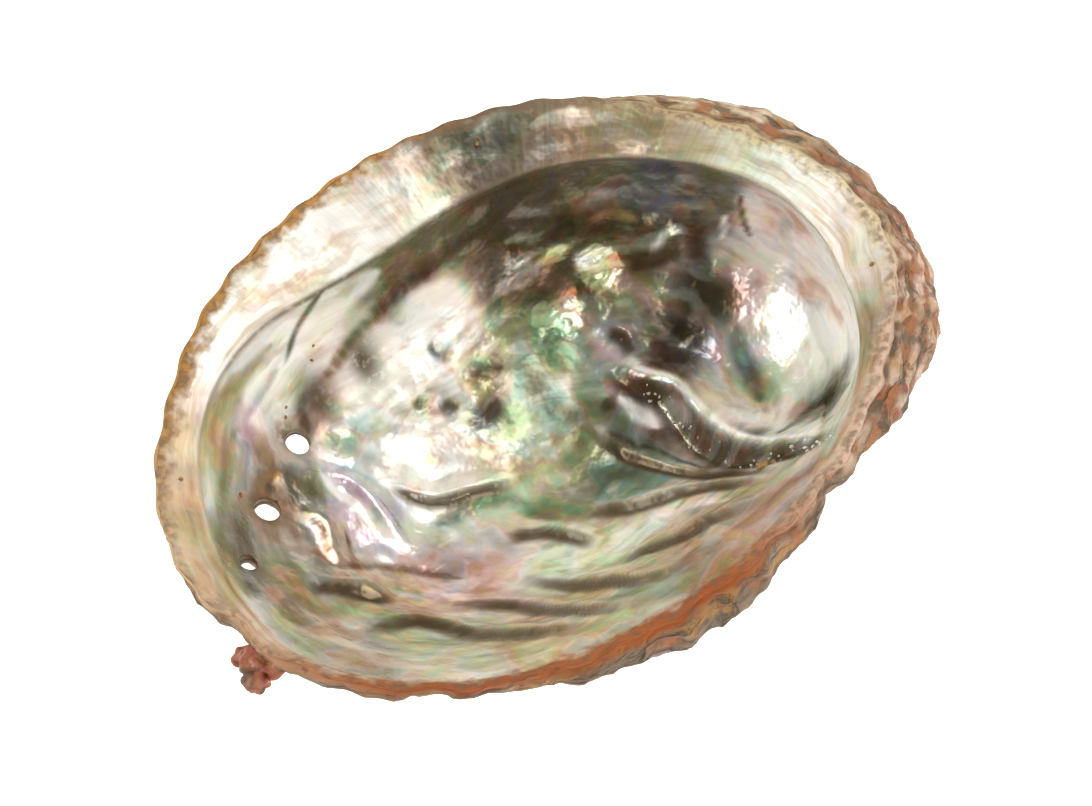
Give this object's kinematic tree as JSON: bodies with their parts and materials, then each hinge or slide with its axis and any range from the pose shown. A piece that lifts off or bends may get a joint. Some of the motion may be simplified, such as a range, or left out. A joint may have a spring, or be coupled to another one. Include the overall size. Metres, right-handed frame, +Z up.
{
  "type": "abalone shell",
  "caption": "Whole abalone shell lying on its back: oval nacre bowl with a broad inner shelf, spire pocket, breathing holes and a rough ribbed back.",
  "frame": {"origin": "under the middle of the shell's bounding box, on the surface it rests on", "axes": "+X along the length to the spire end, +Y across to the shelf side, +Z up out of the bowl's opening"},
  "size_m": [0.1614, 0.117, 0.0453],
  "materials": {
    "shell": "glossy iridescent nacre inside, rough limy crust outside"
  },
  "bodies": {
    "root": {"shell": "shell"}
  },
  "joints": []
}
